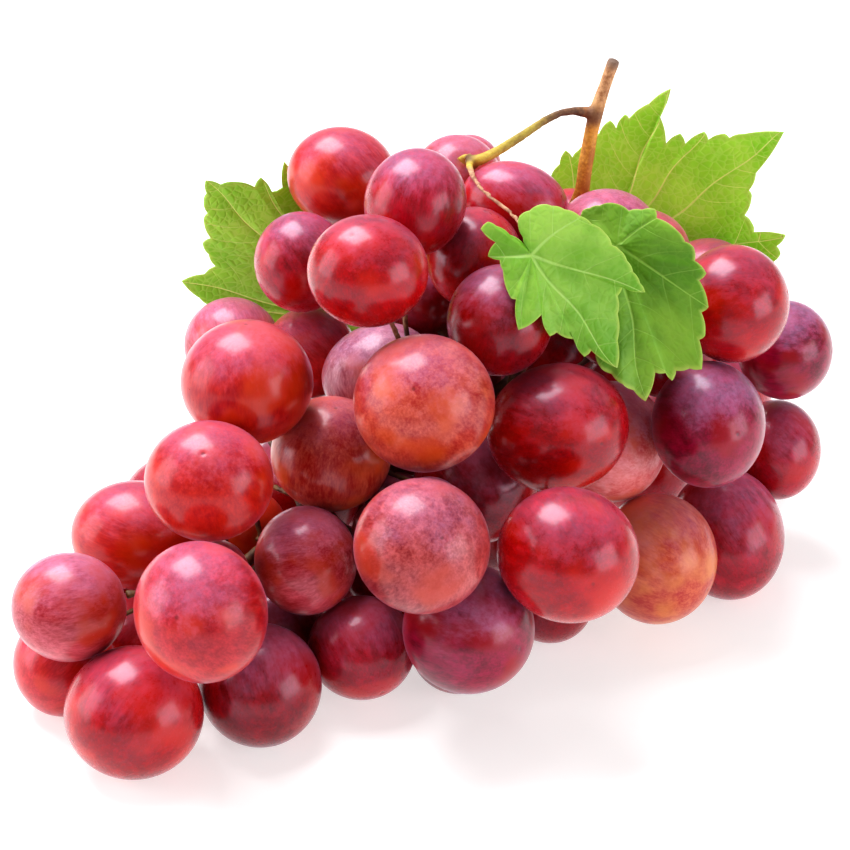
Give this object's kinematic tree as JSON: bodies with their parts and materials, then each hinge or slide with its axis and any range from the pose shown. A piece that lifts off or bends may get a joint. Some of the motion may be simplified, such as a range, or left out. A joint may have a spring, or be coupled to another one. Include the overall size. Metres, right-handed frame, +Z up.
{
  "type": "bunch of grapes",
  "caption": "Bunch of large red table grapes lying on its side, with its cut stem, branching stalks and serrated vine leaves.",
  "frame": {"origin": "on the surface that the bunch lies on, under the middle of its box", "axes": "+X runs along the bunch from its tip to its stem end, +Z is up, and the pictured side faces -Y"},
  "size_m": [0.1866, 0.1296, 0.1024],
  "materials": {
    "grape_skin": "thin red skin under a pale dusty bloom, soft gloss",
    "leaf": "green leaf blade with paler veins, satin",
    "stem": "fresh woody stem, brown to yellow green, matt"
  },
  "bodies": {
    "root": {"grape_behind_leaf": "grape_skin", "grape_centre": "grape_skin", "grape_centre_left": "grape_skin", "grape_far_left": "grape_skin", "grape_far_right": "grape_skin", "grape_floor_dark": "grape_skin", "grape_floor_left": "grape_skin", "grape_floor_middle": "grape_skin", "grape_floor_purple": "grape_skin", "grape_floor_right": "grape_skin", "grape_floor_tan": "grape_skin", "grape_front_dark": "grape_skin", "grape_front_left": "grape_skin", "grape_front_middle": "grape_skin", "grape_front_purple": "grape_skin", "grape_front_right": "grape_skin", "grape_glossy": "grape_skin", "grape_leaf_rest_lower": "grape_skin", "grape_leaf_rest_middle": "grape_skin", "grape_leaf_rest_upper": "grape_skin", "grape_left_edge": "grape_skin", "grape_left_inner": "grape_skin", "grape_left_middle": "grape_skin", "grape_left_upper": "grape_skin", "grape_low_right": "grape_skin", "grape_mottled": "grape_skin", "grape_orange_inner": "grape_skin", "grape_right_back": "grape_skin", "grape_right_behind": "grape_skin", "grape_right_pink": "grape_skin", "grape_right_purple": "grape_skin", "grape_right_top": "grape_skin", "grape_right_upper": "grape_skin", "grape_stem_back": "grape_skin", "grape_tip_front": "grape_skin", "grape_tip_lower": "grape_skin", "grape_tip_upper": "grape_skin", "grape_top_back": "grape_skin", "grape_top_dark": "grape_skin", "grape_top_left": "grape_skin", "grape_top_middle": "grape_skin", "grape_under_leaf": "grape_skin", "grape_upper_front": "grape_skin", "grape_upper_left": "grape_skin", "grape_upper_middle": "grape_skin", "grapes_back_01": "grape_skin", "grapes_back_02": "grape_skin", "grapes_back_03": "grape_skin", "grapes_back_04": "grape_skin", "grapes_back_05": "grape_skin", "grapes_back_06": "grape_skin", "grapes_back_07": "grape_skin", "grapes_back_08": "grape_skin", "grapes_back_09": "grape_skin", "grapes_back_10": "grape_skin", "leaf_back_left": "leaf", "leaf_back_right": "leaf", "leaf_front": "leaf", "leaf_front_lower": "leaf", "rachis": "stem"}
  },
  "joints": []
}
